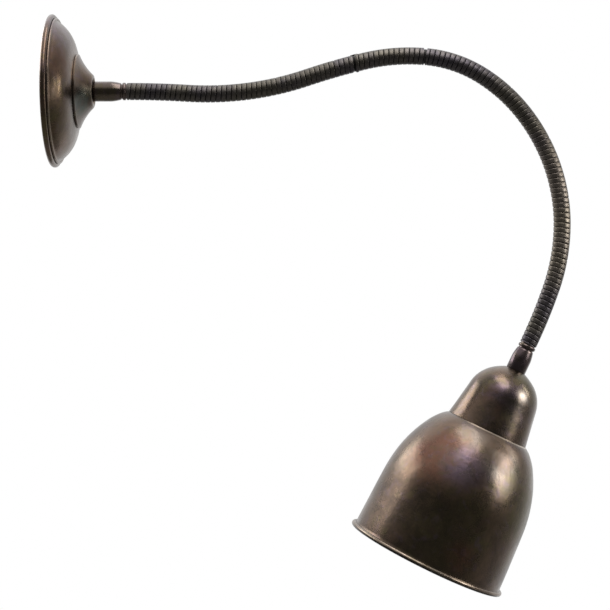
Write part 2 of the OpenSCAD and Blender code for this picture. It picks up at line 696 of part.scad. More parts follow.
// The ceramic carries the contacts and the screw shell
ceramic_r = holder_in - fit;
ceramic_z = holder_split + ceramic_gap;
shell_z = ceramic_z + ceramic_h;
// Places a piece at each contact screw, with +Z towards the arm
module at_contacts(z) {
    on_head() for (p = poles) rotate([0, 0, 120 * p])
        translate([contact_screw_r, 0, z]) mirror([0, 0, 1]) children();
}
module contact_ceramic() {
    color("#efece3") difference() {
        on_head() translate([0, 0, ceramic_z]) cylinder(r = ceramic_r, h = ceramic_h);
        at_contacts(ceramic_z + contact_screw_len + fit)
            cylinder(r = contact_screw_d / 2 + fit, h = contact_screw_len + past);
    }
}
module contact_screws() {
    color("#c8a250") at_contacts(ceramic_z)
        screw(contact_screw_d / 2, contact_screw_len, contact_head_d / 2, contact_head_h);
}
// The shell is drawn from sheet: a floor on the ceramic, a neck, a shoulder and the wall for the lamp
module screw_shell() {
    shell_r = shell_bore_d / 2;
    neck_r = shell_neck_d / 2;
    wall_z = shell_z + shell_neck_h;
    color("#c39b4a") on_head() union() {
        tube(neck_r + shell_wall, shell_hole_d / 2, shell_z, shell_z + shell_wall);
        tube(neck_r + shell_wall, neck_r, shell_z, wall_z + shell_wall);
        tube(shell_r + shell_wall, neck_r, wall_z, wall_z + shell_wall);
        tube(shell_r + shell_wall, shell_r, wall_z, wall_z + shell_len);
    }
}
module centre_contact() {
    foot_r = contact_foot_d / 2;
    tip_r = foot_r / 2;
    color("#c8a250") on_head() rotate_extrude()
        polygon([[0, shell_z], [foot_r, shell_z], [foot_r, shell_z + shell_wall],
            [tip_r + shell_wall, shell_z + shell_wall], [tip_r, shell_z + contact_h],
            [0, shell_z + contact_h]]);
}
module holder_leads() {
    on_head() for (p = poles) {
        out = [cos(120 * p), sin(120 * p), 0];
        start = lead_core_r * out + [0, 0, cable_end + apart];
        end = contact_screw_r * out + [0, 0, ceramic_z - contact_head_h - apart];
        color(lead_colors[p + 1])
            lead([start, start + [0, 0, lead_pull * holder_pull[0]],
                end - [0, 0, lead_pull * holder_pull[1]], end], cross(out, [0, 0, 1]));
    }
}
module shade_ring() {
    inner = skirt_r + fit;
    outer = inner + ring_w;
    top = shade_seat + shade_wall + apart / 2;
    notches = 16;
    color("#2b2522") on_head() difference() {
        tube(outer, inner, top, top + ring_h);
        for (k = [1:notches]) rotate([0, 0, 360 * k / notches])
            translate([outer + notch_d / 6, 0, top + notch_d / 2]) cylinder(r = notch_d / 2, h = ring_h);
    }
}

wall_bracket();
bracket_nut();
wall_tube();
earth_screw();
earth_tag();
earth_lead();
terminal_block();
terminal_barrels();
terminal_screws();
block_leads();
rose();
rose_boss();
wall_ferrule();
for (i = [1:link_count]) hose(i);
for (i = [1:link_count]) cable(i);
head_ferrule();
head_tube();
cap();
cap_nut();
holder_cap();
holder_body();
contact_ceramic();
screw_shell();
centre_contact();
contact_screws();
holder_leads();
shade_ring();
shade();
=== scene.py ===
"""The looks of the gooseneck wall sconce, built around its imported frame. Metres, in the frame's axes."""
import json
import math

import bmesh
import bpy
import numpy as np
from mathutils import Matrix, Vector, noise

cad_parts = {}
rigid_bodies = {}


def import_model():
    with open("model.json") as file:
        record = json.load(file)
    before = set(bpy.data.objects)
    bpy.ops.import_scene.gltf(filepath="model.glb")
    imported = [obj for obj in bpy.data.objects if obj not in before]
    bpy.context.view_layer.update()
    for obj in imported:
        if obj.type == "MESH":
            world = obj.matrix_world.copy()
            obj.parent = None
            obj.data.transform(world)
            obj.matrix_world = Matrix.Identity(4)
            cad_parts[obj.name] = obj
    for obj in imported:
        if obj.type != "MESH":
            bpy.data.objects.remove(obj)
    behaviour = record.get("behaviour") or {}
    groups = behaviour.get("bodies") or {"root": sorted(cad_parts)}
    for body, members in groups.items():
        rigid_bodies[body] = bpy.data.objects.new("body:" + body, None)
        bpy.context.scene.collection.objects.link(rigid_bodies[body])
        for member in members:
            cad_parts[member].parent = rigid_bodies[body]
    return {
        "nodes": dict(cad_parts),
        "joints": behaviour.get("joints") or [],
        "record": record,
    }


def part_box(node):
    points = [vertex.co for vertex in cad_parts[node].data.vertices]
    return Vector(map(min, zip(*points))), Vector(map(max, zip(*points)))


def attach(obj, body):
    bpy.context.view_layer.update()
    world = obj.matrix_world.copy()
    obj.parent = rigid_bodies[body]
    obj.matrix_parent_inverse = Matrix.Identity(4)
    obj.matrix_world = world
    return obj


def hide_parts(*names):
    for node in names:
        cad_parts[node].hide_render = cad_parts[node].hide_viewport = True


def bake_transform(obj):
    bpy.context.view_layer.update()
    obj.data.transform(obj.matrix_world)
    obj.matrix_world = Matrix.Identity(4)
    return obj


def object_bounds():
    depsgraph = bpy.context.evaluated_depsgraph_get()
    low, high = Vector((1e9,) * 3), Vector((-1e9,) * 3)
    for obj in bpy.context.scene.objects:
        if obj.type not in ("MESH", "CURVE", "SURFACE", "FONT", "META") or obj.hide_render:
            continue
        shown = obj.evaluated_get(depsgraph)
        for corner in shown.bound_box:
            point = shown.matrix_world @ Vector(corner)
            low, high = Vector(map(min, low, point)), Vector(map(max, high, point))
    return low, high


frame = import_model()
cad_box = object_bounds()

MM = 0.001

# Measures of the frame that the looks are drawn to, in millimetres and degrees
ROSE_D = 120
ROSE_H = 22
ROSE_STEPS = [(80, 17), (31, 53)]
ROSE_TUCK = (0.391, 0.805)
RIM_BEAD_R = 2.3
FINE_BEAD_R = 1.1
FINE_BEAD_UP = 2.6
FINE_BEAD_OUT = 0.4
SHEET_T = 1
TUBE_D = 10
HOLE_R = 5.1
BOSS_D = 58
BOSS_WALL = 1.6
BOSS_EDGE = 1.2
BOSS_FLARE_R = 48
BOSS_SLOPES = (23, 46)
BOSS_LIP_R = 2
BOSS_WELL = 2.9
BOSS_HOLLOW = 0.7
FERRULE_D = 15.8
FERRULE_LEN = 26.4
HEAD_FERRULE_LEN = 23
FERRULE_TAPER = 8
FERRULE_TIP_D = 13.2
FERRULE_RING_D = 14
FERRULE_RING_W = 4.6
FERRULE_NOTCH_W = 0.9
FERRULE_NOTCH_D = 11.8
ARM_D = 13.5
GROOVE_DEPTH = 0.6
ARM_BORE_D = 6.2
ARM_SPIGOT = 6
LINK_COILS = 12
CABLE_D = 5
CABLE_FROM = 8.3
CABLE_PAST_SEAT = 12
CAP_FLAT_R = 8.6
CAP_SLOPE = 22.9
CAP_STEPS = [(45.8, 34.7), (27.9, 80.7)]
CAP_CLEAR = 0.1
SHADE_D = 130
SHADE_SEAT = 48.4
SHADE_DEPTH = 115.1
SHADE_STEPS = [(24.3, 45), (44.5, 59)]
SHADE_SIDE_SLOPE = 87.4
SHADE_BEAD_R = 1.9
SHADE_TUCK = 0.798
SHADE_HOLE_R = 20.3
SHADE_FLAT_R = 21.2
SOCKET_DEPTH = 54.25
LEAD_R = 0.9
LEAD_CORE = 1.17
LEAD_GAP = 0.3
POLE_X = 6.5
POLE_PITCH = 9
BLOCK_Y = 10.3
BLOCK_W = 15
EARTH_AT = (13, 10.8, 15)
CONTACT_R = 9.2
CONTACT_DEPTH = 25.7

# Rows and sides of the meshes that follow the arm; rows are counted over one link
HOSE_SIDES = 48
BORE_ROWS = 24
CABLE_SIDES = 16
CABLE_ROWS = 10

# Two places beside each joint, in links from the start of the link before the joint
BEND_FROM = 0.55
BEND_TO = 1.45

# Shares of bare metal on rubbed edges, and of painted shadow in near black where the share is below
# nothing
ROSE_BEAD_WEAR = 0.16
BOSS_WEAR = 0.15
SHADE_RIM_WEAR = 0.3
SHADE_MOUTH_SHADOW = -0.9

# The photograph's frame: 610 pixels across, 0.79 mm to a pixel at the lamp
CAMERA_AT = (0.2005, -1.272, -0.1687)
CAMERA_LENS = 95
CAMERA_SENSOR = 36

mounts = {m["name"]: m for m in frame["record"]["mounts"]}
joints = frame["joints"]
HEAD_AXIS = Vector(mounts["lamp_socket"]["axis"]).normalized()
HEAD_SEAT = Vector(mounts["lamp_socket"]["pos_m"]) - HEAD_AXIS * SOCKET_DEPTH * MM
HEAD_SIDE = Vector((-HEAD_AXIS.z, 0, HEAD_AXIS.x))


def sin(a):
    return math.sin(math.radians(a))


def cos(a):
    return math.cos(math.radians(a))


# Outlines of revolved pieces, as points of radius and depth in millimetres


def arc(p, start, end, r, count=12):
    """The points after p along an arc whose slope goes from start to end degrees."""
    points = []
    for i in range(1, count + 1):
        b = start + (end - start) * i / count
        points.append((p[0] + r * (sin(b) - sin(start)), p[1] + r * (cos(start) - cos(b))))
    return points


def sheet_side(p, slope, steps, end, inwards=0):
    """One side of a sheet: its arcs, and a straight run down to the depth of its end."""
    line = [(p[0] - inwards * sin(slope), p[1] + inwards * cos(slope))]
    for radius, to in steps:
        line += arc(line[-1], slope, to, radius - inwards)
        slope = to
    run = end - line[-1][1]
    line.append((line[-1][0] + run * cos(slope) / sin(slope), end))
    return line


def steps_size(steps, slope=0):
    """How far a row of arcs reaches outwards and down."""
    reach = 0
    drop = 0
    for radius, to in steps:
        reach += radius * (sin(to) - sin(slope))
        drop += radius * (cos(slope) - cos(to))
        slope = to
    return reach, drop


def dense(path, step):
    """The path with no stretch longer than step."""
    out = [path[0]]
    for a, b in zip(path, path[1:]):
        parts = max(1, math.ceil(math.dist(a, b) / step))
        for k in range(1, parts + 1):
            out.append((a[0] + (b[0] - a[0]) * k / parts, a[1] + (b[1] - a[1]) * k / parts))
    return out


def roll_bead(path, centre, radius, towards, count=16):
    """Swaps the part of the path inside a circle for the circle's arc on the side it leans towards."""
    inside = [i for i, p in enumerate(path) if math.dist(p, centre) < radius]
    first, last = inside[0], inside[-1]

    def angle(p):
        return math.atan2(p[1] - centre[1], p[0] - centre[0])

    start = angle(path[first - 1])
    sweep = (angle(path[last + 1]) - start) % math.tau
    if (math.atan2(towards[1], towards[0]) - start) % math.tau > sweep:
        sweep -= math.tau
    turns = [start + sweep * k / count for k in range(count + 1)]
    ring = [(centre[0] + radius * math.cos(t), centre[1] + radius * math.sin(t)) for t in turns]
    return path[:first] + ring + path[last + 1:]


def shade_side(inwards=0):
    """The long side takes the radius that brings the crown and shoulder out to the rim."""
    reach, drop = steps_size(SHADE_STEPS)
    slope, last = SHADE_STEPS[-1][1], SHADE_SIDE_SLOPE
    tangent = math.tan(math.radians(last))
    out = SHADE_D / 2 - SHADE_BEAD_R - SHADE_TUCK - SHADE_FLAT_R
    left = out - reach - (SHADE_DEPTH - drop) / tangent
    radius = left / (sin(last) - sin(slope) - (cos(slope) - cos(last)) / tangent)
    steps = SHADE_STEPS + [(radius, last)]
    return sheet_side((SHADE_FLAT_R, SHADE_SEAT), 0, steps, SHADE_SEAT + SHADE_DEPTH, inwards)


def cap_edge(inwards):
    """Depth at which one side of the cap's sheet ends, just clear of the shade."""
    side = shade_side()
    depth = SHADE_SEAT
    for _ in range(5):
        r = sheet_side((CAP_FLAT_R, 0), CAP_SLOPE, CAP_STEPS, depth)[-1][0] - inwards
        depth = float(np.interp(r, [p[0] for p in side], [p[1] for p in side])) - CAP_CLEAR
    return depth


# The arm's line, which goes through the pivots of the joints as one arc for each link
arm_start = Vector((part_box("wall_ferrule")[1].x, 0, 0))
arm_end = HEAD_SEAT - HEAD_AXIS * HEAD_FERRULE_LEN * MM
ARM_POINTS = [arm_start] + [Vector(j["pos_m"]) for j in joints] + [arm_end]
ARM_LINKS = len(ARM_POINTS) - 1


def link_arcs():
    """Start, heading, turn and length of each link, in row-frame metres and radians."""
    heading = 0.0
    arcs = []
    for a, b in zip(ARM_POINTS, ARM_POINTS[1:]):
        chord = b - a
        turn = 2 * (math.atan2(chord.z, chord.x) - heading)
        turn = (turn + math.pi) % math.tau - math.pi
        half = turn / 2
        length = chord.length * (half / math.sin(half) if abs(half) > 1e-4 else 1)
        arcs.append((a, heading, turn, length))
        heading += turn
    return arcs


ARM_ARCS = link_arcs()
LINK_LEN = sum(a[3] for a in ARM_ARCS) / ARM_LINKS
PITCH = LINK_LEN / LINK_COILS


def arm_at(u):
    """Centre and heading of the arm at u metres from the wall ferrule, straight on past its ends."""
    i = min(ARM_LINKS - 1, max(0, int(u // LINK_LEN)))
    start, heading, turn, length = ARM_ARCS[i]
    v = u - i * LINK_LEN
    inside = min(length, max(0.0, v))
    half = turn * inside / length / 2
    chord = inside * (math.sin(half) / half if abs(half) > 1e-6 else 1)
    at = start + Vector((math.cos(heading + half), 0, math.sin(heading + half))) * chord
    end = heading + 2 * half
    return at + Vector((math.cos(end), 0, math.sin(end))) * (v - inside), end


# Meshes


def new_piece(name, verts, faces, material, sharp=35):
    """Edges that turn by more than sharp degrees stay sharp."""
    mesh = bpy.data.meshes.new(name)
    mesh.from_pydata([tuple(v) for v in verts], [], [tuple(f) for f in faces])
    build = bmesh.new()
    build.from_mesh(mesh)
    bmesh.ops.remove_doubles(build, verts=build.verts, dist=2e-6)
    bmesh.ops.recalc_face_normals(build, faces=build.faces)
    build.to_mesh(mesh)
    build.free()
    mesh.shade_smooth()
    mesh.set_sharp_from_angle(angle=math.radians(sharp))
    mesh.materials.append(material)
    piece = bpy.data.objects.new(name, mesh)
    bpy.context.scene.collection.objects.link(piece)
    return piece


def set_float(mesh, name, values):
    """One number for each vertex, which a material can read."""
    layer = mesh.attributes.new(name, "FLOAT", "POINT")
    layer.data.foreach_set("value", values)


def lathe(name, outline, origin, axis, slot, segments, uneven=0, lump=0.03, wear_and_shadow=None):
    """A closed outline revolved about an axis.

    Uneven moves the metal in and out by so many mm, in waves about lump metres long."""
    axis = Vector(axis)
    side = Vector((0, 1, 0)).cross(axis).normalized()
    other = axis.cross(side)
    verts = []
    for r, z in outline:
        for k in range(segments):
            turn = math.tau * k / segments
            out = side * math.cos(turn) + other * math.sin(turn)
            at = Vector(origin) + (axis * z + out * r) * MM
            if uneven:
                at += out * uneven * MM * noise.noise(at / lump)
            verts.append(at)
    rows = len(outline)
    faces = []
    for i in range(rows):
        for k in range(segments):
            a, b = i * segments, (i + 1) % rows * segments
            m = (k + 1) % segments
            faces.append((a + k, a + m, b + m, b + k))
    piece = new_piece(name, verts, faces, MATERIALS[slot])
    mesh = piece.data
    worn = np.zeros(len(mesh.vertices), np.float32)
    if wear_and_shadow:
        for i, v in enumerate(mesh.vertices):
            from_origin = v.co - Vector(origin)
            z = from_origin.dot(axis)
            worn[i] = wear_and_shadow((from_origin - axis * z).length / MM, z / MM)
    set_float(mesh, "wear_and_shadow", worn)
    return piece


# Materials


def colour(code):
    """A colour written as six hex digits, in the renderer's linear values."""
    parts = [int(code[i:i + 2], 16) / 255 for i in (0, 2, 4)]
    return [p / 12.92 if p < 0.04045 else ((p + 0.055) / 1.055) ** 2.4 for p in parts] + [1]


class Graph:
    """Short names for the nodes of one material."""

    def __init__(self, name):
        self.material = bpy.data.materials.new(name)
        self.material.use_nodes = True
        self.tree = self.material.node_tree
        self.shader = self.tree.nodes["Principled BSDF"]
        self.place = self.add("ShaderNodeTexCoord").outputs["Object"]

    def add(self, kind, **settings):
        node = self.tree.nodes.new(kind)
        for key, value in settings.items():
            setattr(node, key, value)
        return node

    def put(self, socket, value):
        if isinstance(value, bpy.types.NodeSocket):
            self.tree.links.new(value, socket)
        else:
            socket.default_value = value

    def noise(self, size, detail=3, rough=0.5, distortion=0, stretch=None, seed=0):
        """Noise from 0 to 1 whose lumps are about size metres across."""
        shift = self.add("ShaderNodeMapping")
        self.put(shift.inputs["Vector"], self.place)
        self.put(shift.inputs["Location"], (seed, seed * 0.7, seed * 1.3))
        if stretch:
            self.put(shift.inputs["Scale"], stretch)
        node = self.add("ShaderNodeTexNoise")
        self.put(node.inputs["Vector"], shift.outputs["Vector"])
        for key, value in (("Scale", 1 / size), ("Detail", detail), ("Roughness", rough),
                           ("Distortion", distortion)):
            self.put(node.inputs[key], value)
        return node.outputs["Fac"]

    def attribute(self, name):
        return self.add("ShaderNodeAttribute", attribute_name=name).outputs["Fac"]

    def math(self, operation, a, b):
        node = self.add("ShaderNodeMath", operation=operation)
        self.put(node.inputs[0], a)
        self.put(node.inputs[1], b)
        return node.outputs[0]

    def band(self, value, low, high, to_low=0.0, to_high=1.0):
        """Value from low to high, smoothly brought to the other two."""
        node = self.add("ShaderNodeMapRange", interpolation_type="SMOOTHSTEP")
        for key, number in (("From Min", low), ("From Max", high),
                            ("To Min", to_low), ("To Max", to_high)):
            self.put(node.inputs[key], number)
        self.put(node.inputs["Value"], value)
        return node.outputs["Result"]

    def near(self, centre, inner, outer):
        """1 within inner metres of a point, falling to 0 at outer."""
        node = self.add("ShaderNodeVectorMath", operation="DISTANCE")
        self.put(node.inputs[0], self.place)
        self.put(node.inputs[1], tuple(centre))
        return self.band(node.outputs["Value"], inner, outer, 1.0, 0.0)

    def depth(self, origin, axis):
        """How far a place lies along an axis from its origin, in metres."""
        away = self.add("ShaderNodeVectorMath", operation="SUBTRACT")
        self.put(away.inputs[0], self.place)
        self.put(away.inputs[1], tuple(origin))
        along = self.add("ShaderNodeVectorMath", operation="DOT_PRODUCT")
        self.put(along.inputs[0], away.outputs["Vector"])
        self.put(along.inputs[1], tuple(axis))
        return along.outputs["Value"]

    def mix(self, share, a, b):
        node = self.add("ShaderNodeMix", data_type="RGBA")
        self.put(node.inputs[0], share)
        self.put(node.inputs[6], a)
        self.put(node.inputs[7], b)
        return node.outputs[2]

    def bump(self, heights):
        """Each entry is a height from 0 to 1 and how many metres that stands for."""
        normal = None
        for height, depth in heights:
            node = self.add("ShaderNodeBump")
            self.put(node.inputs["Distance"], depth)
            self.put(node.inputs["Height"], height)
            if normal:
                self.put(node.inputs["Normal"], normal)
            normal = node.outputs["Normal"]
        self.put(self.shader.inputs["Normal"], normal)

    def finish(self, base, roughness, metallic=0.0, coat=0.0, coat_roughness=0.3):
        self.put(self.shader.inputs["Base Color"], base)
        self.put(self.shader.inputs["Roughness"], roughness)
        self.put(self.shader.inputs["Metallic"], metallic)
        self.put(self.shader.inputs["Coat Weight"], coat)
        self.put(self.shader.inputs["Coat Roughness"], coat_roughness)
        return self.material


# Reflected colours of the patina, which is dark under its wax
UMBER = colour("5a483a")
DARK = colour("2f2a22")
COPPER = colour("634031")
OLIVE = colour("514a2c")
MAUVE = colour("60505a")
TEAL = colour("434b45")
# Warm light brown, put where the left lamp reflects: a painted highlight
TAN_HIGHLIGHT = colour("6d5a45")
# Pale grey brown that is only put where a lamp reflects: painted highlight
HIGHLIGHT_PEWTER = colour("635b53")
# Golden rubbed brass, placed where the narrow lamp at the right reflects on the rose: partly a painted
# highlight
GOLD_RUB_AND_HIGHLIGHT = colour("7d6b50")
WORN = colour("bbad9c")
# Near black for the painted shadow under the shade's rim bead
SHADOW_BLACK = colour("0e0c0a")


def patina(name, spots, seed, gloss=0.28, tone=UMBER, line=None):
    """Antiqued brass: brown with drifting patches, small specks, bright metal where it is worn, and a
    painted shadow of near black where the share is below nothing.

    A spot is a tint, its centre, the radii at which it starts and ends to fade, and its share. A line is
    a thin streak of bare metal round the head, partly a painted highlight: its depth and width, then a
    centre and two radii too."""
    g = Graph(name)
    drift = g.noise(0.035, 4, 0.6, 0.8, seed=seed)
    dim = [c * 0.68 for c in tone[:3]] + [1]
    lit = [c * 1.25 for c in tone[:3]] + [1]
    base = g.mix(g.band(drift, 0.3, 0.7), dim, lit)
    for tint, centre, inner, outer, share in spots:
        ragged = g.band(g.noise(0.016, 4, 0.6, 0.8, seed=seed + outer * 100), 0.32, 0.6, 0.25, 1.0)
        spot = g.math("MULTIPLY", g.near(centre, inner, outer), ragged)
        base = g.mix(g.math("MULTIPLY", spot, share), base, tint)
    cloud = g.noise(0.011, 5, 0.65, 0.6, seed=seed + 3)
    base = g.mix(g.band(cloud, 0.48, 0.72, 0.0, 0.5), base, OLIVE)
    base = g.mix(g.band(g.noise(0.008, 4, 0.6, 0.6, seed=seed + 5), 0.52, 0.75, 0.0, 0.45), base, MAUVE)
    blotch = g.noise(0.006, 5, 0.7, 1.0, stretch=(1.0, 1.0, 0.6), seed=seed + 6)
    base = g.mix(g.band(blotch, 0.5, 0.72, 0.0, 0.4), base, DARK)
    specks = g.noise(0.0016, 2, 0.7, seed=seed + 7)
    base = g.mix(g.band(specks, 0.64, 0.78, 0.0, 0.35), base, DARK)
    wear_and_shadow = g.attribute("wear_and_shadow")
    chipped = g.band(g.noise(0.006, 4, 0.7, seed=seed + 9), 0.35, 0.6, 0.35, 1.0)
    base = g.mix(g.math("MULTIPLY", wear_and_shadow, chipped), base, WORN)
    # Painted shadow: near black where the share is below nothing
    base = g.mix(g.math("MULTIPLY", wear_and_shadow, -1), base, SHADOW_BLACK)
    # Painted highlight in part: a thin ring of bare metal round the head, kept to one side by the centre
    # and radii
    if line:
        depth, width, centre, inner, outer = line
        off = g.math("ABSOLUTE", g.math("SUBTRACT", g.depth(HEAD_SEAT, HEAD_AXIS), depth), 0)
        ring = g.band(off, width * 0.4, width * 0.6, 1.0, 0.0)
        base = g.mix(g.math("MULTIPLY", ring, g.near(centre, inner, outer)), base, WORN)
    smudge = g.noise(0.014, 5, 0.65, 0.5, seed=seed + 11)
    roughness = g.band(smudge, 0.3, 0.7, gloss - 0.05, gloss + 0.09)
    scratches = g.noise(0.0035, 3, 0.6, 0.2, stretch=(1.0, 1.0, 0.16), seed=seed + 13)
    dents = g.noise(0.014, 3, 0.55, 0.3, seed=seed + 15)
    g.bump([(scratches, 0.00003), (dents, 0.00034), (specks, 0.00001)])
    return g.finish(base, roughness, 1.0, 0.4, 0.28)


def hose_metal():
    """Blackened strip: dark in the grooves, rubbed lighter on the crests."""
    g = Graph("hose_metal")
    drift = g.noise(0.03, 3, 0.6, seed=2)
    base = g.mix(g.band(drift, 0.35, 0.65), colour("474348"), colour("514d45"))
    crest = g.attribute("crest")
    patches = g.band(g.noise(0.005, 3, 0.6, seed=4), 0.35, 0.7)
    rubbed = g.math("MULTIPLY", g.band(crest, 0.9, 1.0), patches)
    base = g.mix(g.math("MULTIPLY", rubbed, 0.4), base, colour("67625d"))
    handled = g.near(arm_at(8.6 * LINK_LEN)[0] + Vector((0.006, -0.003, 0)), 0.02, 0.09)
    base = g.mix(g.math("MULTIPLY", handled, 0.5), base, colour("857b6c"))
    base = g.mix(g.band(crest, 0.1, 0.7, 1.0, 0.0), base, colour("12100f"))
    roughness = g.band(g.noise(0.005, 3, 0.6, seed=6), 0.3, 0.7, 0.36, 0.5)
    g.bump([(g.noise(0.003, 3, 0.6, seed=8), 0.00001)])
    return g.finish(base, roughness, 1.0, 0.15, 0.3)


def plain_metal(name, light, dark, rough, seed):
    """Turned or plated metal with faint tool marks and dull patches."""
    g = Graph(name)
    base = g.mix(g.band(g.noise(0.006, 4, 0.6, 0.4, seed=seed), 0.35, 0.7), colour(light), colour(dark))
    marks = g.noise(0.0006, 2, 0.6, stretch=(1.0, 0.2, 1.0), seed=seed + 1)
    g.bump([(marks, 0.00001)])
    return g.finish(base, g.band(marks, 0.3, 0.7, rough - 0.06, rough + 0.08), 1.0)


def moulded(name, light, dark, rough, seed, grain=0.0004):
    """A moulding, ceramic or sheath: nearly even, with a fine grain and a little dust."""
    g = Graph(name)
    dust = g.noise(0.008, 4, 0.6, seed=seed)
    base = g.mix(g.band(dust, 0.35, 0.75), colour(light), colour(dark))
    skin = g.noise(grain, 2, 0.5, seed=seed + 1)
    g.bump([(skin, 0.000015)])
    return g.finish(base, g.band(dust, 0.3, 0.7, rough - 0.05, rough + 0.07))


def head_point(depth, side, front=0.0):
    """A point of the head: depth below the seat, to the side away from the wall, and to the front."""
    return HEAD_SEAT + (HEAD_AXIS * depth + HEAD_SIDE * side - Vector((0, front, 0))) * MM


MATERIALS = {
    "zinc_steel": plain_metal("zinc_steel", "c9ccd0", "9fa3a8", 0.34, 1),
    "bright_brass": plain_metal("bright_brass", "d9b36a", "b08a45", 0.28, 3),
    "terminal_plastic": moulded("terminal_plastic", "eae6da", "d9d3c2", 0.42, 5),
    "holder_plastic": moulded("holder_plastic", "2d2724", "1f1b19", 0.35, 7),
    "ceramic": moulded("ceramic", "efece4", "dcd7c9", 0.22, 9),
    "cable_sheath": moulded("cable_sheath", "3b3b3b", "2c2c2c", 0.55, 11),
    "lead_brown": moulded("lead_brown", "6b4230", "59382a", 0.45, 13),
    "lead_blue": moulded("lead_blue", "2f62a3", "274f85", 0.45, 15),
    "lead_green": moulded("lead_green", "6f9a35", "5f852d", 0.45, 17),
    "arm_steel": hose_metal(),
    "rose_brass": patina("rose_brass", [
        (COPPER, (0.015, -0.042, 0.017), 0.005, 0.022, 0.4),
        (MAUVE, (0.011, -0.025, 0.044), 0.008, 0.024, 0.7),
        (OLIVE, (0.005, -0.046, -0.033), 0.006, 0.026, 0.8),
        (TEAL, (0.026, -0.018, -0.011), 0.006, 0.018, 0.9),
        # Rubbed golden spot on the lamp's reflection, also a painted highlight
        (GOLD_RUB_AND_HIGHLIGHT, (0.013, -0.048, -0.002), 0.003, 0.012, 0.6),
        # Painted shade: dark on the boss's nose, dimming the narrow lamp's reflection there
        (DARK, (0.032, -0.01, -0.002), 0.003, 0.011, 0.7),
    ], 20),
    "ferrule_brass": patina("ferrule_brass", [
        (OLIVE, (0.045, -0.007, -0.004), 0.004, 0.014, 0.6),
        (MAUVE, head_point(-10, -6, 4), 0.005, 0.014, 0.5),
    ], 31, 0.22, colour("4d423f")),
    "cap_brass": patina("cap_brass", [
        (DARK, head_point(19, -16, 20), 0.004, 0.018, 0.7),
        # Painted highlight where the left lamp reflects on the cap
        (TAN_HIGHLIGHT, head_point(38, -29, 12), 0.005, 0.016, 0.4),
        (COPPER, head_point(30, -10, 27), 0.005, 0.02, 0.4),
        (OLIVE, head_point(5, 10, 12), 0.006, 0.022, 0.85),
        # Painted highlight where the right lamp reflects on the cap
        (HIGHLIGHT_PEWTER, head_point(24, 12, 24), 0.008, 0.022, 0.9),
        (MAUVE, head_point(20, -5, 27), 0.006, 0.014, 0.9),
        (DARK, head_point(40, -2, 31), 0.008, 0.03, 0.6),
    ], 40, 0.25),
    "shade_brass": patina("shade_brass", [
        # Painted highlight where the left lamp reflects on the shade
        (TAN_HIGHLIGHT, head_point(98, -50, 28), 0.006, 0.026, 0.5),
        (COPPER, head_point(84, -32, 46), 0.01, 0.036, 0.85),
        (MAUVE, head_point(84, -10, 53), 0.007, 0.024, 0.95),
        # Painted highlights where the lamps above and at the right reflect on the shade
        (HIGHLIGHT_PEWTER, head_point(58, -13, 38), 0.005, 0.02, 0.7),
        (HIGHLIGHT_PEWTER, head_point(72, 19, 46), 0.008, 0.026, 0.8),
        (OLIVE, head_point(92, 48, 26), 0.014, 0.042, 0.8),
        (OLIVE, head_point(134, 2, 62), 0.014, 0.05, 0.7),
        (DARK, head_point(142, -16, 58), 0.02, 0.06, 0.35),
        (COPPER, head_point(146, 15, 60), 0.004, 0.018, 0.6),
    # A line just below the cap's edge, where the cap rubs the shade, kept to the front right: partly a
    # painted highlight of that edge
    ], 50, line=((cap_edge(0) + 0.5) * MM, 1.0 * MM, head_point(58, 12, 30), 0.026, 0.04)),
}


# The arm's skin


def arm_vertex(u, turn, radius):
    """A point on the arm's skin: turn goes round it, from its upper side towards the back."""
    at, heading = arm_at(u)
    up = Vector((-math.sin(heading), 0, math.cos(heading)))
    return at + (up * math.cos(turn) + Vector((0, 1, 0)) * math.sin(turn)) * radius


# Height of the strip over one turn, from 0 in the groove to 1 on the crest
STRIP = [(0.0, 0.0), (0.035, 0.2), (0.07, 0.62), (0.11, 0.86), (0.17, 0.965), (0.25, 0.995), (0.5, 1.0),
         (0.78, 0.99), (0.86, 0.93), (0.92, 0.72), (0.965, 0.22)]
# The turn that stands proud of the others, how far, how wide the gap before it is, and the end of the
# turn before it, which dips
PROUD_TURN = 45
PROUD_BY = 0.45
PROUD_GAP = 0.3
DIP_FROM = 0.7
DIP_BY = 1.5 * PROUD_BY
# The joint at which the skin is cut, with a ball on one side in a socket on the other.
CUT_AT = ("bow_6",)
# Half the bend that the cut leaves room for, upwards and downwards in degrees, and the gap beside it
CUT_UP = 12
CUT_DOWN = 5
CUT_GAP = 0.1
# Radius of the ball in the cut, its reach past the pivot, how its bore widens, the socket's radius, and
# how far the cable ends before and after the pivot
CUT_BALL = 5.75
CUT_REACH = 2.9
CUT_FLARE = 0.45
CUT_SOCKET = 5.95
CUT_CABLE = 0.65


def cut_back(share):
    """How far the skin ends before or after the pivot of a cut, so that its two sides never meet."""
    height = ARM_D / 2 * cos(360 * share)
    room = max(height * math.tan(math.radians(CUT_UP)), -height * math.tan(math.radians(CUT_DOWN)))
    return (CUT_GAP + room) * MM


def cut_ball(x):
    """Radius of the ball in a cut, x metres past the pivot."""
    return math.sqrt((CUT_BALL * MM) ** 2 - x ** 2)


def strip_radius(phase):
    """Radius of the wound strip at a place counted in turns."""
    whole = math.floor(phase)
    part = phase - whole
    if whole == PROUD_TURN:
        part = max(0.0, part * (1 + PROUD_GAP) - PROUD_GAP)
    places = [s[0] for s in STRIP] + [1.0]
    shares = [s[1] for s in STRIP] + [0.0]
    share = float(np.interp(part, places, shares))
    radius = ARM_D / 2 - GROOVE_DEPTH * (1 - share)
    if whole == PROUD_TURN:
        radius += PROUD_BY * share
    if whole == PROUD_TURN - 1 and part > DIP_FROM:
        radius -= DIP_BY * (part - DIP_FROM) / (1 - DIP_FROM) * share
    return radius * MM


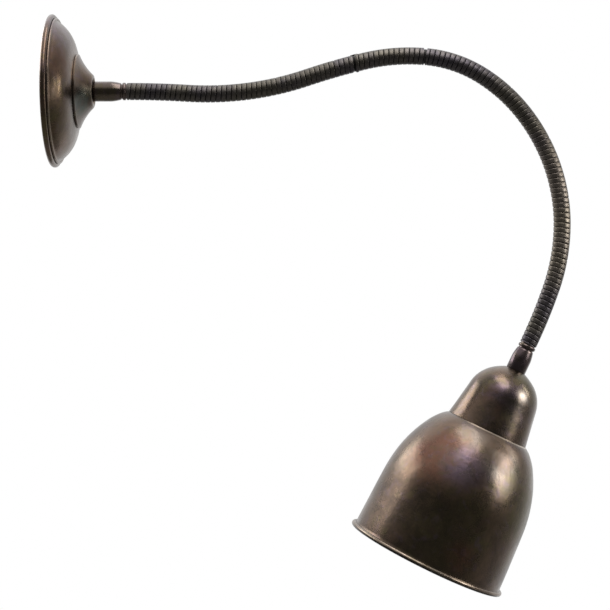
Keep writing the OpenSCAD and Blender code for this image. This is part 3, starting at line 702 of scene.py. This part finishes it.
def arm_piece(name, first, last, rows, slot, sides, bore=None):
    """A closed tube along the arm. A row gives metres along it and radius at each share of a turn.

    Bore gives the radius of the hole through it at so many metres, if it has one."""
    verts = []
    for row in rows:
        for k in range(sides):
            u, radius = row(k / sides)
            verts.append(arm_vertex(u, math.tau * k / sides, radius))
    count = len(rows)
    ends = (rows[-1](0)[0], rows[0](0)[0])
    stops = max(2, round((last - first) / LINK_LEN * BORE_ROWS))
    for u in np.linspace(*ends, stops) if bore else ():
        for k in range(sides):
            verts.append(arm_vertex(u, math.tau * k / sides, bore(u)))
    total = len(verts) // sides
    faces = []
    for i in range(total if bore else count - 1):
        for k in range(sides):
            a, b, m = i * sides, (i + 1) % total * sides, (k + 1) % sides
            faces.append((a + k, a + m, b + m, b + k))
    if not bore:
        faces.append(range(sides))
        faces.append(range((count - 1) * sides, count * sides))
    return new_piece(name, verts, faces, MATERIALS[slot], 50)


def hose_bore(first, last, starts_cut, ends_cut):
    """Gives the bore's radius along the hose: a socket after a cut, a flare through a cut's ball."""
    def bore(u):
        radius = ARM_BORE_D / 2 * MM
        if starts_cut and u - first < CUT_SOCKET * MM:
            radius = max(radius, math.sqrt((CUT_SOCKET * MM) ** 2 - (u - first) ** 2))
        if ends_cut and u > last:
            radius += (u - last) * CUT_FLARE
        return radius
    return bore


def hose_rows(first, last, starts_cut, ends_cut):
    """Rows of the wound strip, which climb one turn for each time round and stop square at both ends.

    Into a ferrule a thin spigot goes on. At a cut the strip stops short, and before it comes the ball."""
    def low(share):
        return first + (cut_back(share) if starts_cut else 0)

    def high(share):
        return last - (cut_back(share) if ends_cut else 0)

    def on_strip(u, share):
        return u, strip_radius(u / PITCH - share)

    def spigot(*stops):
        return [lambda share, u=u: (u, TUBE_D / 2 * MM) for u in stops]

    rows = [lambda share: on_strip(low(share), share)]
    for whole in range(math.floor(first / PITCH) - 2, math.ceil(last / PITCH) + 2):
        for part, _ in STRIP:
            def row(share, at=whole + part):
                return on_strip(min(high(share), max(low(share), (at + share) * PITCH)), share)
            rows.append(row)
    rows.append(lambda share: on_strip(high(share), share))
    if ends_cut:
        rows.append(lambda share: (high(share), cut_ball(high(share) - last)))
        for x in np.linspace(0, CUT_REACH * MM, 6):
            rows.append(lambda share, x=x: (last + x, cut_ball(x)))
    if first == 0:
        rows = spigot(-ARM_SPIGOT * MM, 0) + rows
    if last == ARM_LINKS * LINK_LEN:
        rows += spigot(last, last + ARM_SPIGOT * MM)
    return rows


def cable_rows(first, last):
    stops = np.linspace(first, last, max(3, round((last - first) / LINK_LEN * CABLE_ROWS)))
    return [lambda share, u=u: (u, CABLE_D / 2 * MM) for u in stops]


def set_crest(piece):
    """Marks how high each vertex stands on its strip, from its distance to the arm's line."""
    mesh = piece.data
    past = 0.01
    stops = np.arange(-past, ARM_LINKS * LINK_LEN + past, 0.0005)
    line = np.array([arm_at(u)[0] for u in stops])
    co = np.zeros(len(mesh.vertices) * 3, np.float32)
    mesh.vertices.foreach_get("co", co)
    co = co.reshape(-1, 3)
    away = np.empty(len(co), np.float32)
    batch = 2000
    for i in range(0, len(co), batch):
        part = co[i:i + batch]
        away[i:i + batch] = np.linalg.norm(part[:, None] - line[None], axis=2).min(1)
    low = (ARM_D / 2 - GROOVE_DEPTH) * MM
    set_float(mesh, "crest", np.clip((away - low) / (GROOVE_DEPTH * MM), 0, 1))


def arm():
    """One piece for each joint, from the middle of one link to the middle of the next.

    Those beside a joint in CUT_AT go on to its pivot instead, where one ends in a ball in a socket of the
    other."""
    cut = [joint["name"] in CUT_AT for joint in joints] + [False]
    for i, joint in enumerate(joints):
        if cut[i]:
            continue
        starts_cut, ends_cut = cut[i - 1], cut[i + 1]
        first = (i + 0.5) * LINK_LEN if i else 0.0
        last = (i + 1.5) * LINK_LEN if i < len(joints) - 1 else ARM_LINKS * LINK_LEN
        if starts_cut:
            first = i * LINK_LEN
        if ends_cut:
            last = (i + 2) * LINK_LEN
        rows = hose_rows(first, last, starts_cut, ends_cut)
        bore = hose_bore(first, last, starts_cut, ends_cut)
        hose = arm_piece(f"hose_run_{i + 1}", first, last, rows, "arm_steel", HOSE_SIDES, bore)
        set_crest(hose)
        if i == 0:
            first = -arm_start.x + CABLE_FROM * MM
        if i == len(joints) - 1:
            last += (HEAD_FERRULE_LEN + CABLE_PAST_SEAT) * MM
        if starts_cut:
            first += CUT_CABLE * MM
        if ends_cut:
            last -= CUT_CABLE * MM
        rows = cable_rows(first, last)
        cable = arm_piece(f"cable_run_{i + 1}", first, last, rows, "cable_sheath", CABLE_SIDES)
        links = (i + 1, i + 2) if i == 0 or starts_cut else (i + 2,)
        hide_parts(*[f"hose_{k}" for k in links])
        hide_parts(*[f"cable_{k}" for k in links])
        start = arm_at((i + BEND_FROM) * LINK_LEN)[0]
        end = arm_at((i + BEND_TO) * LINK_LEN)[0]
        for piece in (hose, cable):
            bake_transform(piece)
            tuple(end)
            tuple(start)


# The turned and spun pieces


def ferrule_outline(length):
    """From its wide end: a small bevel, the barrel, the taper, a groove and the ring."""
    r = FERRULE_D / 2
    tip = FERRULE_TIP_D / 2
    ring = FERRULE_RING_D / 2
    notch = FERRULE_NOTCH_D / 2
    half = (FERRULE_RING_W - 2 * FERRULE_NOTCH_W) / 2
    edge = 0.4
    at = length - FERRULE_RING_W
    taper = at - FERRULE_TAPER
    line = [(HOLE_R, 0), (r - edge, 0), (r - edge * 0.3, edge * 0.3), (r, edge), (r, taper)]
    for k in range(1, 9):
        share = k / 8
        line.append((r + (tip - r) * share ** 1.4, taper + (FERRULE_TAPER - edge) * share))
    line += [(tip - edge * 0.6, at - edge * 0.4), (notch, at)]
    for k in range(9):
        turn = 180 * k / 8
        out = notch + (ring - notch) * sin(turn) ** 0.6
        line.append((out, at + FERRULE_NOTCH_W + half * (1 - cos(turn))))
    return line + [(notch, length), (HOLE_R, length)]


def rose():
    """A dome of sheet with a bead rolled round its rim and a fine one above. Returns its flat's radius."""
    reach, drop = steps_size(ROSE_STEPS)
    rim = (ROSE_D / 2 - RIM_BEAD_R, ROSE_H - RIM_BEAD_R)
    rim_in, rim_down = rim[0] - ROSE_TUCK[0], rim[1] - ROSE_TUCK[1]
    slope = ROSE_STEPS[-1][1]
    flat = rim_in - reach - (rim_down - drop) / math.tan(math.radians(slope))
    outer = sheet_side((flat, 0), 0, ROSE_STEPS, rim_down)
    inner = sheet_side((flat, 0), 0, ROSE_STEPS, rim_down, SHEET_T)
    path = dense([(HOLE_R, 0)] + outer + inner[::-1] + [(HOLE_R, SHEET_T)], 1.2)
    path = roll_bead(path, rim, RIM_BEAD_R, (1, 1), 24)
    fine = (rim_in - FINE_BEAD_UP * cos(slope) + FINE_BEAD_OUT * sin(slope),
            rim_down - FINE_BEAD_UP * sin(slope) - FINE_BEAD_OUT * cos(slope))
    path = roll_bead(path, fine, FINE_BEAD_R, (sin(slope), -cos(slope)), 12)

    def wear_and_shadow(r, z):
        return ROSE_BEAD_WEAR if math.dist((r, z), fine) < FINE_BEAD_R * 1.1 else 0

    piece = lathe("rose_shell", path, (ROSE_H * MM, 0, 0), (-1, 0, 0), "rose_brass",
                  160, 0.25, 0.03, wear_and_shadow)
    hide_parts("rose")
    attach(piece, joints[0]["parent"])
    return flat


def rose_boss(flat):
    """A flared collar on the crown of the rose, hollow below. Returns how far its nose reaches."""
    r = BOSS_D / 2
    crown = ROSE_STEPS[0][0]
    boss_x = ROSE_H - crown + math.sqrt(crown ** 2 - (r - BOSS_WALL - flat) ** 2)
    foot, nose = BOSS_SLOPES
    nose_r = r - BOSS_FLARE_R * (sin(nose) - sin(foot))
    well_r = nose_r - BOSS_LIP_R * (1 + sin(nose))
    height = BOSS_EDGE + BOSS_FLARE_R * (cos(foot) - cos(nose)) + BOSS_LIP_R * (1 - cos(nose))
    nose_x = boss_x + height
    lip = arc((well_r, BOSS_LIP_R), -90, nose, BOSS_LIP_R)
    flare = arc(lip[-1], nose, foot, -BOSS_FLARE_R, 20)
    start = (r - BOSS_WALL * sin(foot), height - BOSS_EDGE + BOSS_WALL * cos(foot))
    hollow = foot + BOSS_HOLLOW * (nose - foot)
    under = [p for p in arc(start, foot, hollow, -BOSS_FLARE_R - BOSS_WALL) if p[0] < r - BOSS_WALL]
    path = [(HOLE_R, BOSS_WELL), (well_r, BOSS_WELL), (well_r, BOSS_LIP_R)] + lip + flare
    path += [(r, height), (r - BOSS_WALL, height)] + under + [(HOLE_R, under[-1][1])]

    def wear_and_shadow(at, z):
        on_edge = abs(at - r) < 0.7 and z < height - 0.5
        on_lip = at < nose_r and z < 1.5
        return BOSS_WEAR if on_edge or on_lip else 0

    piece = lathe("boss_shell", dense(path, 1.5), (nose_x * MM, 0, 0), (-1, 0, 0), "rose_brass",
                  128, 0.12, 0.02, wear_and_shadow)
    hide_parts("rose_boss")
    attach(piece, joints[0]["parent"])
    return nose_x


def ferrules(nose_x):
    well = (nose_x - BOSS_WELL) * MM
    wall = lathe("wall_ferrule_turned", ferrule_outline(BOSS_WELL + FERRULE_LEN), (well, 0, 0), (1, 0, 0),
                 "ferrule_brass", 96)
    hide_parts("wall_ferrule")
    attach(wall, joints[0]["parent"])
    head = lathe("head_ferrule_turned", ferrule_outline(HEAD_FERRULE_LEN), HEAD_SEAT, -HEAD_AXIS,
                 "ferrule_brass", 96)
    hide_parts("head_ferrule")
    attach(head, joints[-1]["child"])


def shade():
    """A bell of sheet with a bead rolled round its rim."""
    rim = (SHADE_D / 2 - SHADE_BEAD_R, SHADE_SEAT + SHADE_DEPTH)
    path = [(SHADE_HOLE_R, SHADE_SEAT)] + shade_side() + shade_side(SHEET_T)[::-1]
    path = dense(path + [(SHADE_HOLE_R, SHADE_SEAT + SHEET_T)], 2)
    path = roll_bead(path, rim, SHADE_BEAD_R, (1, 1), 20)

    def wear_and_shadow(r, z):
        # Below the middle of the rim bead a painted shadow; on its outer upper part rubbed metal
        if z > rim[1] + 0.2:
            return SHADE_MOUTH_SHADOW
        return SHADE_RIM_WEAR if r > rim[0] + 0.6 and z > rim[1] - SHADE_BEAD_R else 0

    piece = lathe("shade_shell", path, HEAD_SEAT, HEAD_AXIS, "shade_brass", 176, 0.5, 0.04, wear_and_shadow)
    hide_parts("shade")
    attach(piece, joints[-1]["child"])


def cap():
    """A dome of sheet, its edge trimmed to the slope of the shade."""
    outer = sheet_side((CAP_FLAT_R, 0), CAP_SLOPE, CAP_STEPS, cap_edge(0))
    inner = sheet_side((CAP_FLAT_R, 0), CAP_SLOPE, CAP_STEPS, cap_edge(SHEET_T), SHEET_T)
    path = dense([(HOLE_R, 0)] + outer + inner[::-1] + [(HOLE_R, SHEET_T)], 1.5)
    piece = lathe("cap_shell", path, HEAD_SEAT, HEAD_AXIS, "cap_brass", 144, 0.3, 0.02)
    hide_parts("cap")
    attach(piece, joints[-1]["child"])


# The wiring


def leads(name, curves, replaced, body):
    """Smooth leads, each with its colour, the four points of its cubic curve, and a way across it."""
    sides, steps = 14, 24
    radius = LEAD_R * MM
    verts, faces, paints = [], [], []
    for paint, (points, side) in curves:
        p = [Vector(q) for q in points]
        line = []
        for i in range(steps + 1):
            t = i / steps
            s = 1 - t
            line.append(p[0] * s ** 3 + p[1] * 3 * s * s * t + p[2] * 3 * s * t * t + p[3] * t ** 3)
        base = len(verts)
        for i, at in enumerate(line):
            along = (line[min(i + 1, steps)] - line[max(i - 1, 0)]).normalized()
            out = along.cross(Vector(side)).normalized()
            up = along.cross(out)
            for k in range(sides):
                turn = math.tau * k / sides
                verts.append((at * MM) + (out * math.cos(turn) + up * math.sin(turn)) * radius)
        for i in range(steps):
            for k in range(sides):
                a, b, m = base + i * sides, base + (i + 1) * sides, (k + 1) % sides
                faces.append((a + k, a + m, b + m, b + k))
                paints.append(paint)
        faces.append([base + k for k in range(sides)])
        faces.append([base + steps * sides + k for k in range(sides)])
        paints += [paint, paint]
    piece = new_piece(name, verts, faces, MATERIALS["lead_brown"], 50)
    piece.data.materials.append(MATERIALS["lead_blue"])
    piece.data.materials.append(MATERIALS["lead_green"])
    for face, paint in zip(piece.data.polygons, paints):
        face.material_index = paint
    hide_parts(replaced)
    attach(piece, body)


def wiring():
    """The leads between the terminal block and the cable, to earth, and to the lampholder."""
    wall, head = joints[0]["parent"], joints[-1]["child"]
    block = []
    holder = []
    for paint in range(3):
        pole = paint - 1
        angle = 120 * pole
        start = Vector((CABLE_FROM, LEAD_CORE * cos(angle), LEAD_CORE * sin(angle)))
        end = Vector((POLE_X, BLOCK_Y - LEAD_GAP, pole * POLE_PITCH))
        curve = (start, start - Vector((10, 0, 0)), end - Vector((3, 7, 0)), end)
        block.append((paint, (curve, (0, 0, 1))))
        out = -HEAD_SIDE * cos(angle) + Vector((0, 1, 0)) * sin(angle)
        start = HEAD_SEAT / MM + out * LEAD_CORE + HEAD_AXIS * (CABLE_PAST_SEAT + LEAD_GAP)
        end = HEAD_SEAT / MM + out * CONTACT_R + HEAD_AXIS * CONTACT_DEPTH
        curve = (start, start + HEAD_AXIS * 5, end - HEAD_AXIS * 6, end)
        holder.append((paint, (curve, out.cross(HEAD_AXIS))))
    start = Vector((POLE_X, BLOCK_Y + BLOCK_W + LEAD_GAP, POLE_PITCH))
    end = Vector(EARTH_AT)
    earth = (start, start + Vector((0, 8, 5)), end + Vector((0, 12, 7)), end)
    leads("block_leads_smooth", block, "block_leads", wall)
    leads("earth_lead_smooth", [(2, (earth, (1, 0, 0)))], "earth_lead", wall)
    leads("holder_leads_smooth", holder, "holder_leads", head)


def paint_frame():
    """The CAD nodes that stay get the material of their slot."""
    for row in frame["record"]["subparts"]:
        material = MATERIALS.get(row["material_slot"])
        node = frame["nodes"][row["node"]]
        if material and not node.hide_render:
            node.data.materials.clear()
            node.data.materials.append(material)
            node.data.shade_smooth()
            node.data.set_sharp_from_angle(angle=math.radians(30))


# The studio


def camera():
    """Straight from the front, as the photograph was taken."""
    data = bpy.data.cameras.new("camera")
    data.lens = CAMERA_LENS
    data.sensor_width = CAMERA_SENSOR
    view = bpy.data.objects.new("camera", data)
    view.location = CAMERA_AT
    view.rotation_euler = (math.pi / 2, 0, 0)
    bpy.context.scene.collection.objects.link(view)
    bpy.context.scene.camera = view


def softbox(name, aim, azimuth, elevation, distance, size, radiance, tint=(1, 1, 1), spread=180):
    """A lamp with this radiance towards the point that it faces, and light only within its spread.

    Azimuth 0 is the front and 90 the right, in degrees as elevation and spread are."""
    width, height = size
    half = math.radians(spread / 2)
    gain = 1 if spread == 180 else math.tan(half) / (math.tan(half) - half)
    flat = cos(elevation)
    direction = Vector((sin(azimuth) * flat, -cos(azimuth) * flat, sin(elevation)))
    data = bpy.data.lights.new(name, "AREA")
    data.shape = "RECTANGLE"
    data.size = width
    data.size_y = height
    data.energy = radiance * math.pi * width * height / gain
    data.color = tint
    data.spread = math.radians(spread)
    lamp = bpy.data.objects.new(name, data)
    lamp.location = aim + direction * distance
    lamp.rotation_euler = direction.to_track_quat("Z", "Y").to_euler()
    lamp.visible_camera = False
    bpy.context.scene.collection.objects.link(lamp)


def studio_world():
    """White for the camera. Metal reflects a pale backdrop, a bright ceiling and a dim room in front."""
    dim = 0.16
    world = bpy.data.worlds.new("studio")
    world.use_nodes = True
    bpy.context.scene.world = world
    tree = world.node_tree

    def put(socket, value):
        if isinstance(value, bpy.types.NodeSocket):
            tree.links.new(value, socket)
        else:
            socket.default_value = value

    def combine(operation, a, b):
        node = tree.nodes.new("ShaderNodeMath")
        node.operation = operation
        put(node.inputs[0], a)
        put(node.inputs[1], b)
        return node.outputs[0]

    def ramp(value, low, high, to_low, to_high):
        node = tree.nodes.new("ShaderNodeMapRange")
        node.interpolation_type = "SMOOTHSTEP"
        for socket, entry in zip(node.inputs, (value, low, high, to_low, to_high)):
            put(socket, entry)
        return node.outputs["Result"]

    split = tree.nodes.new("ShaderNodeSeparateXYZ")
    put(split.inputs[0], tree.nodes.new("ShaderNodeTexCoord").outputs["Generated"])
    x, y, z = split.outputs
    room = ramp(y, -0.6, 0.1, 0.12, 0.35)
    backdrop = ramp(y, 0.1, 0.8, 0.0, 0.5)
    ceiling = combine("MULTIPLY", ramp(z, 0.3, 0.88, 0.0, 1.0), ramp(x, -0.5, 0.5, 1.1, 0.7))
    level = combine("ADD", combine("ADD", room, backdrop), ceiling)
    path = tree.nodes.new("ShaderNodeLightPath")
    shines = combine("MAXIMUM", path.outputs["Is Glossy Ray"], path.outputs["Is Transmission Ray"])
    level = combine("ADD", combine("MULTIPLY", level, shines),
                    combine("MULTIPLY", dim, combine("SUBTRACT", 1, shines)))
    seen = path.outputs["Is Camera Ray"]
    level = combine("ADD", combine("MULTIPLY", level, combine("SUBTRACT", 1, seen)), seen)
    put(tree.nodes["Background"].inputs["Color"], level)


def floor():
    """A pale floor that keeps the shadow and fades into the white of the backdrop."""
    radius = 1.7
    drop = 0.9
    sides = 60
    level = cad_box[0][2] - drop
    rim = [(radius * cos(360 * k / sides), radius * sin(360 * k / sides), level) for k in range(sides)]
    mesh = bpy.data.meshes.new("floor")
    mesh.from_pydata(rim, [], [range(sides)])
    g = Graph("floor_paint")
    base = g.mix(g.noise(0.01, 2), colour("e2e1df"), colour("e9e8e6"))
    far = g.add("ShaderNodeVectorMath", operation="LENGTH")
    g.put(far.inputs[0], g.place)
    white = g.band(far.outputs["Value"], radius * 0.6, radius * 0.95)
    g.finish(base, 0.7)
    seen = g.add("ShaderNodeLightPath").outputs["Is Camera Ray"]
    glow = g.add("ShaderNodeEmission")
    g.put(glow.inputs["Strength"], g.math("MULTIPLY", seen, 0.55))
    near = g.add("ShaderNodeAddShader")
    g.put(near.inputs[0], g.shader.outputs[0])
    g.put(near.inputs[1], glow.outputs[0])
    mixed = g.add("ShaderNodeMixShader")
    g.put(mixed.inputs[0], g.math("MULTIPLY", seen, white))
    g.put(mixed.inputs[1], near.outputs[0])
    g.put(mixed.inputs[2], g.add("ShaderNodeEmission").outputs[0])
    g.put(g.tree.nodes["Material Output"].inputs["Surface"], mixed.outputs[0])
    mesh.materials.append(g.material)
    ground = bpy.data.objects.new("floor", mesh)
    bpy.context.scene.collection.objects.link(ground)


def studio():
    """The world, the floor and five lamps, placed by what their reflections do in the photograph."""
    bpy.context.scene.view_settings.view_transform = "Standard"
    studio_world()
    floor()
    head = head_point(70, 0)
    softbox("right", head, 68, 12, 0.48, (0.3, 0.34), 12.5, (0.98, 0.99, 1), 44)
    softbox("right_arm", arm_at(8.5 * LINK_LEN)[0], 70, 12, 0.5, (0.22, 0.3), 8, (1, 0.98, 0.94), 36)
    softbox("left", head, -109, 31, 1.1, (0.84, 0.34), 4.4)
    softbox("above", head, 14, 74, 1.1, (0.5, 1.05), 4.4, (1, 0.98, 0.98))
    softbox("strip", Vector((0, 0, 0)), 93, 4, 1.1, (0.08, 0.34), 8.5, (1, 0.95, 0.86))


camera()
arm()
crown_flat = rose()
ferrules(rose_boss(crown_flat))
shade()
cap()
wiring()
paint_frame()
studio()
